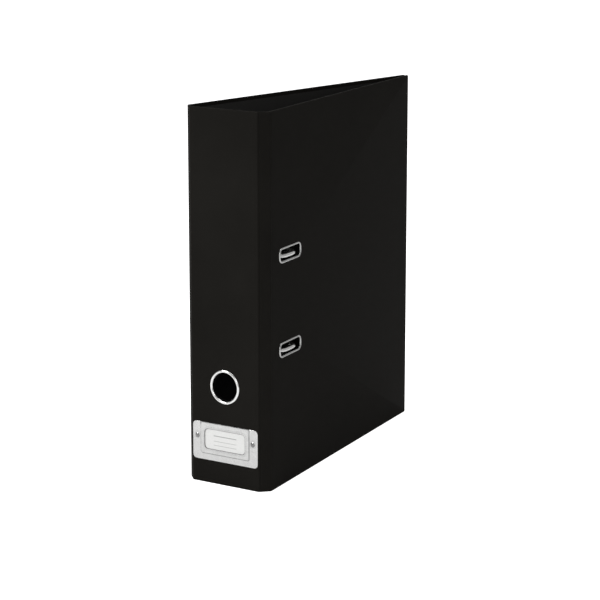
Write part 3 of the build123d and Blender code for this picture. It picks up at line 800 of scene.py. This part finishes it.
def make_label_plate():
    """The holder: a flat plate with a pressed pocket, open at its head, and a hemmed window in it."""
    low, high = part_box("label_holder")
    rivets_low, rivets_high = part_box("label_rivets")
    rivet_z = (rivets_low.z + rivets_high.z) / 2
    rivet_x = rivets_high.x - (rivets_high.z - rivets_low.z) / 2
    window_half = high.x - POCKET_SIDE - WINDOW_SIDE
    window_z = low.z + WINDOW_FOOT + WINDOW_HEIGHT / 2

    def height(x, z):
        """How far the plate's front stands off the spine."""
        side, foot = high.x - POCKET_SIDE - abs(x), z - low.z - POCKET_FOOT
        within = min(side, foot)
        if side < POCKET_CORNER and foot < POCKET_CORNER:
            within = POCKET_CORNER - math.hypot(POCKET_CORNER - side, POCKET_CORNER - foot)
        up = PLATE_SHEET + POCKET_RISE * smooth_rise(within / POCKET_SLOPE)
        hem = max(beyond_rounded(x, z - window_z, window_half, WINDOW_HEIGHT / 2, WINDOW_CORNER), 0.0)
        up += HEM_BEAD * math.exp(-(((hem - HEM_BEAD_AT) / (HEM_BEAD_SPREAD * HEM_BEAD_AT)) ** 2))
        if hem < HEM_ROUND:
            up -= HEM_ROUND - math.sqrt(HEM_ROUND ** 2 - (HEM_ROUND - hem) ** 2)
        seat = math.hypot(abs(x) - rivet_x, z - rivet_z) - RIVET_SEAT
        return up - RIVET_SEAT_DEPTH * math.exp(-((seat / (RIVET_SEAT_SPREAD * RIVET_SEAT)) ** 2))

    def loop(inset):
        """The plate's outline, drawn in by inset."""
        return rounded_rectangle(
            low.x + inset, high.x - inset, low.z + inset, high.z - inset,
            PLATE_CORNER - inset, CORNER_STEPS, *PLATE_PARTS,
        )

    window = rounded_rectangle(
        -window_half, window_half, window_z - WINDOW_HEIGHT / 2, window_z + WINDOW_HEIGHT / 2,
        WINDOW_CORNER, CORNER_STEPS, *PLATE_PARTS,
    )
    rim = loop(PLATE_EDGE_ROUND)
    shares = PLATE_HEM_SHARES + [
        PLATE_RINGS_FROM + (1 - PLATE_RINGS_FROM) * i / PLATE_RINGS for i in range(PLATE_RINGS + 1)
    ]
    plan = [[Vector(a).lerp(Vector(b), share) for a, b in zip(window, rim)] for share in shares]
    front = [[(x, OUTER_FACE - height(x, z), z) for x, z in ring] for ring in plan]
    back = [
        [(x, OUTER_FACE - max(height(x, z) - PLATE_SHEET, PLATE_BACK_ROOM), z) for x, z in ring]
        for ring in reversed(plan)
    ]
    edge = [
        [(x, OUTER_FACE - PLATE_SHEET + drop, z) for x, z in loop(inset)]
        for inset, drop in quarter_round(PLATE_EDGE_ROUND, PLATE_EDGE_STEPS)[1:]
    ]
    edge.append([(x, OUTER_FACE, z) for x, z in loop(0.0)])
    work = bmesh.new()
    rings = [[work.verts.new(point) for point in ring] for ring in front + edge + back]
    faces = bridge(work, rings + rings[:1])
    count = len(window)
    # the turned hem and the window's cut edge take the painted shade
    for face in faces[: HEM_ROWS * count] + faces[-count:]:
        face.material_index = 1
    mesh = from_bmesh("label_plate", work)
    # each point's painted shade, by how steeply the pressed sheet slopes there
    folds = mesh.attributes.new(FOLD_SHADE_ATTRIBUTE, "FLOAT", "POINT")
    reach = 0.5 * POCKET_SLOPE
    for vertex, fold_shade in zip(mesh.vertices, folds.data):
        x, z = vertex.co.x, vertex.co.z
        slope = math.hypot(
            height(x + reach, z) - height(x - reach, z), height(x, z + reach) - height(x, z - reach)
        )
        fold_shade.value = min(1.0, slope / FOLD_SLOPE) * FOLD_SHADE_STRENGTH
    plate = piece("label_plate", mesh, ["label_metal"], "spine", PLATE_SHARP_FROM, WINDOW_HEM_SHADE)
    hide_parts("label_holder")


# ---------------------------------------------------------------- coils and ribs
class Growth:
    """A Geometry Nodes tree with named sizes, and the plain mesh that it makes."""

    KINDS = {int: "NodeSocketInt", float: "NodeSocketFloat", tuple: "NodeSocketVector"}

    def __init__(self, name, **sizes):
        self.name = name
        self.tree = bpy.data.node_groups.new(name, "GeometryNodeTree")
        self.tree.interface.new_socket("Geometry", in_out="OUTPUT", socket_type="NodeSocketGeometry")
        self.values = {}
        for word, value in sizes.items():
            kind = self.KINDS[type(value)]
            socket = self.tree.interface.new_socket(word, in_out="INPUT", socket_type=kind)
            self.values[socket.identifier] = value
        self.sizes = self.tree.nodes.new("NodeGroupInput").outputs

    def node(self, kind, **inputs):
        """A node whose inputs are numbers, or the outputs of other nodes."""
        made = self.tree.nodes.new("GeometryNode" + kind)
        for word, value in inputs.items():
            socket = made.inputs[word.replace("_", " ")]
            if isinstance(value, bpy.types.NodeSocket):
                self.tree.links.new(value, socket)
            else:
                socket.default_value = value
        return made.outputs[0]

    def maths(self, operation, source, number=0.0):
        """A sum done on every point of a curve."""
        made = self.tree.nodes.new("ShaderNodeMath")
        made.operation = operation
        made.inputs[1].default_value = number
        self.tree.links.new(source, made.inputs[0])
        return made.outputs[0]

    def join(self, *shapes):
        """Several shapes as one."""
        made = self.tree.nodes.new("GeometryNodeJoinGeometry")
        for shape in shapes:
            self.tree.links.new(shape, made.inputs[0])
        return made.outputs[0]

    def mesh(self, shape, material, place):
        """Realize the tree's result, then carry it to its place."""
        real = self.node("RealizeInstances", Geometry=shape)
        dressed = self.node("SetMaterial", Geometry=real, Material=material)
        self.tree.links.new(dressed, self.tree.nodes.new("NodeGroupOutput").inputs[0])
        holder = bpy.data.objects.new(self.name, bpy.data.meshes.new(self.name))
        bpy.context.scene.collection.objects.link(holder)
        growth = holder.modifiers.new("growth", "NODES")
        growth.node_group = self.tree
        for identifier, value in self.values.items():
            growth[identifier] = value
        grown = holder.evaluated_get(bpy.context.evaluated_depsgraph_get())
        mesh = bpy.data.meshes.new_from_object(grown)
        mesh.materials.clear()
        holder.modifiers.remove(growth)
        bpy.data.objects.remove(holder)
        mesh.transform(place)
        return mesh


def place_by(origin, along, over):
    """A frame whose X runs along, whose Y runs over, and whose Z stands off the surface."""
    x = along.normalized()
    y = over.normalized()
    z = x.cross(y)
    return Matrix.Translation(origin) @ Matrix((x, y, z)).transposed().to_4x4()


def in_back_cover(across, up, z):
    """A place by its distance from the back cover's crease and from its inner skin."""
    return PANELS["back_cover"].at(across, PANEL_THICK + up, z)


def make_ribs(name, slot, body, count, pitch, length, thick, place):
    """A row of round-ended ribs, half sunk in a surface."""
    grow = Growth(
        name, Count=count, Pitch=(0.0, pitch, 0.0), Start=(0.0, -pitch * (count - 1) / 2, 0.0),
        End=(length / 2, 0.0, 0.0), Other=(-length / 2, 0.0, 0.0), Thick=thick / 2,
    )
    line = grow.node("CurvePrimitiveLine", Start=grow.sizes["Other"], End=grow.sizes["End"])
    line = grow.node("ResampleCurve", Curve=line, Count=RIB_STEPS)
    along = grow.tree.nodes.new("GeometryNodeSplineParameter").outputs["Factor"]
    from_middle = grow.maths("ABSOLUTE", grow.maths("SUBTRACT", along, 0.5))
    fall = grow.maths("MULTIPLY", grow.maths("POWER", from_middle, RIB_BLUNTNESS), -RIB_END_FALL)
    round_end = grow.maths("SQRT", grow.maths("ADD", fall, 1.0))
    line = grow.node("SetCurveRadius", Curve=line, Radius=round_end)
    circle = grow.node("CurvePrimitiveCircle", Resolution=RIB_SIDES, Radius=grow.sizes["Thick"])
    rib = grow.node("CurveToMesh", Curve=line, Profile_Curve=circle, Fill_Caps=True)
    row = grow.node(
        "MeshLine", Count=grow.sizes["Count"], Start_Location=grow.sizes["Start"],
        Offset=grow.sizes["Pitch"],
    )
    ribs = grow.node("InstanceOnPoints", Points=row, Instance=rib)
    piece(name, grow.mesh(ribs, FINISHES[slot], place), [slot], body)


def make_arch_spring():
    """A close coil round the axle. One end lies on the base plate, the other is hooked into the axle."""
    low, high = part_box("arch_spring")
    middle = (low + high) / 2
    coil = (high.x - low.x) / 2 - SPRING_WIRE / 2
    length = high.z - low.z - SPRING_WIRE
    leave = math.radians(SPRING_LEG_TURN)
    start = leave - 2 * math.pi * SPRING_TURNS
    off = Vector((math.cos(leave) * coil, math.sin(leave) * coil, length))
    leg = off + Vector((-math.sin(leave), math.cos(leave), 0)) * SPRING_LEG
    hook = Vector((math.cos(start) * coil, math.sin(start) * coil, 0))
    grow = Growth(
        "arch_spring_coil", Coil=coil, Wire=SPRING_WIRE / 2, Length=length, Turns=SPRING_TURNS,
        Turn=(0.0, 0.0, start), Leaves=tuple(off), Leg=tuple(leg), Hook=tuple(hook),
    )
    spiral = grow.node(
        "CurveSpiral", Resolution=COIL_STEPS, Rotations=grow.sizes["Turns"],
        Start_Radius=grow.sizes["Coil"], End_Radius=grow.sizes["Coil"], Height=grow.sizes["Length"],
    )
    spiral = grow.node("Transform", Geometry=spiral, Rotation=grow.sizes["Turn"])
    leg_line = grow.node("CurvePrimitiveLine", Start=grow.sizes["Leaves"], End=grow.sizes["Leg"])
    hook_line = grow.node("CurvePrimitiveLine", Start=grow.sizes["Hook"], End=(0.0, 0.0, 0.0))
    circle = grow.node("CurvePrimitiveCircle", Resolution=RIB_SIDES, Radius=grow.sizes["Wire"])
    wire = grow.node(
        "CurveToMesh", Curve=grow.join(spiral, leg_line, hook_line), Profile_Curve=circle, Fill_Caps=True
    )
    across = in_back_cover(1, 0, 0) - in_back_cover(0, 0, 0)
    toward_cover = in_back_cover(0, 0, 0) - in_back_cover(0, 1, 0)
    origin = Vector((middle.x, middle.y, low.z + SPRING_WIRE / 2))
    mesh = grow.mesh(wire, FINISHES["spring_steel"], place_by(origin, across, toward_cover))
    spring = piece("arch_spring_coil", mesh, ["spring_steel"], "back_cover")
    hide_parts("arch_spring")


def make_grips():
    """Ribs where a thumb lifts the lever and where fingers squeeze the two latches."""
    panel = PANELS["back_cover"]
    (end, _, low), (_, tip, high) = panel.span("lever_grip")
    middle = (low + high) / 2
    upper = panel.at(end + THUMB_TIP, tip, middle)
    lower = panel.at(end + THUMB_FOOT, tip - THUMB_DROP, middle)
    up = Vector((0, 0, 1))
    make_ribs(
        "thumb_ribs", "black_plastic", "lever", THUMB_RIBS, THUMB_RIB_PITCH,
        high - low - THUMB_RIB_MARGIN, THUMB_RIB_THICK,
        place_by(upper.lerp(lower, THUMB_RIBS_AT), up, lower - upper),
    )
    across = panel.at(1, 0, 0) - panel.at(0, 0, 0)
    off_cover = panel.at(0, 1, 0) - panel.at(0, 0, 0)
    for word in ("upper", "lower"):
        node = word + "_latch"
        (near, below, low), (far, above, high) = panel.span(node)
        face = high if word == "upper" else low
        make_ribs(
            word + "_latch_ribs", "plated_steel", node, LATCH_RIBS, LATCH_RIB_PITCH,
            far - near - LATCH_RIB_MARGIN, LATCH_RIB_THICK,
            place_by(panel.at((near + far) / 2, (below + above) / 2, face), across, off_cover),
        )


# ---------------------------------------------------------------- studio
def make_studio():
    """A pale floor that curves up into a backdrop, and soft lights."""
    pale = Finish("studio_paper", **{"Specular IOR Level": 0.0, "Roughness": 1.0})
    pale.colour(pale.between(pale.noise(0.8, 2), (0.90, 0.90, 0.90), (0.92, 0.92, 0.92)))
    pale.shader.inputs["Emission Color"].default_value = (1, 1, 1, 1)
    seen = pale.add("ShaderNodeLightPath").outputs["Is Camera Ray"]
    pale.feed(pale.ranged(seen, 0, 1, GLOW_AROUND, GLOW_SEEN), pale.shader.inputs["Emission Strength"])
    work = bmesh.new()
    bend_at = (FLOOR_HALF - FLOOR_BEND, FLOOR_BEND)
    profile = [(-FLOOR_HALF, 0.0)]
    profile += arc(bend_at, FLOOR_BEND, -90, 0, FLOOR_BEND_STEPS)
    profile.append((FLOOR_HALF, BACKDROP_RISE))
    azimuth = math.radians(VIEW_AZIMUTH)
    away = Vector((-math.sin(azimuth), math.cos(azimuth), 0))
    across = Vector((math.cos(azimuth), math.sin(azimuth), 0))
    rings = []
    for reach, rise in profile:
        middle = away * reach + Vector((0, 0, rise))
        rings.append([work.verts.new(middle + across * side * FLOOR_HALF) for side in (-1, 1)])
    bridge(work, rings, closed=False)
    mesh = from_bmesh("studio_floor", work, outward=False)
    mesh.materials.append(pale.material)
    for face in mesh.polygons:
        face.use_smooth = True
    floor = bpy.data.objects.new("studio_floor", mesh)
    bpy.context.scene.collection.objects.link(floor)

    world = bpy.data.worlds.new("studio_air")
    world.use_nodes = True
    air = world.node_tree.nodes["Background"]
    air.inputs["Color"].default_value = (1, 1, 1, 1)
    air.inputs["Strength"].default_value = AIR_GLOW
    bpy.context.scene.world = world
    for name, place, size, power in LIGHTS:
        soft_light(name, Vector(place), size, power)


def soft_light(name, place, size, power):
    """A square light that faces the file."""
    middle = (CAD_LOW + CAD_HIGH) / 2
    data = bpy.data.lights.new(name, "AREA")
    data.shape = "SQUARE"
    data.size = size
    data.energy = power
    lamp = bpy.data.objects.new(name, data)
    lamp.location = place
    lamp.rotation_euler = (middle - place).to_track_quat("-Z", "Y").to_euler()
    bpy.context.scene.collection.objects.link(lamp)


def make_camera():
    """The camera looks from the spine's side, a little down."""
    data = bpy.data.cameras.new("camera")
    data.lens, data.sensor_width = VIEW_LENS, VIEW_SENSOR
    azimuth, elevation = math.radians(VIEW_AZIMUTH), math.radians(VIEW_ELEVATION)
    level = math.cos(elevation)
    back = Vector((math.sin(azimuth) * level, -math.cos(azimuth) * level, math.sin(elevation)))
    camera = bpy.data.objects.new("camera", data)
    camera.location = (CAD_LOW + CAD_HIGH) / 2 + VIEW_AIM + back * VIEW_DISTANCE
    camera.rotation_euler = (-back).to_track_quat("-Z", "Y").to_euler()
    bpy.context.scene.collection.objects.link(camera)
    bpy.context.scene.camera = camera
    bpy.context.scene.view_settings.view_transform = "Standard"


def dress_nodes():
    """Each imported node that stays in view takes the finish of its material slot."""
    for row in RECORD["subparts"]:
        node = frame["nodes"][row["node"]]
        if row["material_slot"] not in FINISHES:
            continue
        # the rivets take the darker copy of their metal, a painted shade
        finish = RIVET_PAINTED_SHADE if row["node"] == "label_rivets" else FINISHES[row["material_slot"]]
        for slot in node.material_slots:
            slot.material = finish


dress_nodes()
make_case()
make_finger_ring()
make_slot_eyelets()
make_label_plate()
make_arch_spring()
make_grips()
make_studio()
make_camera()
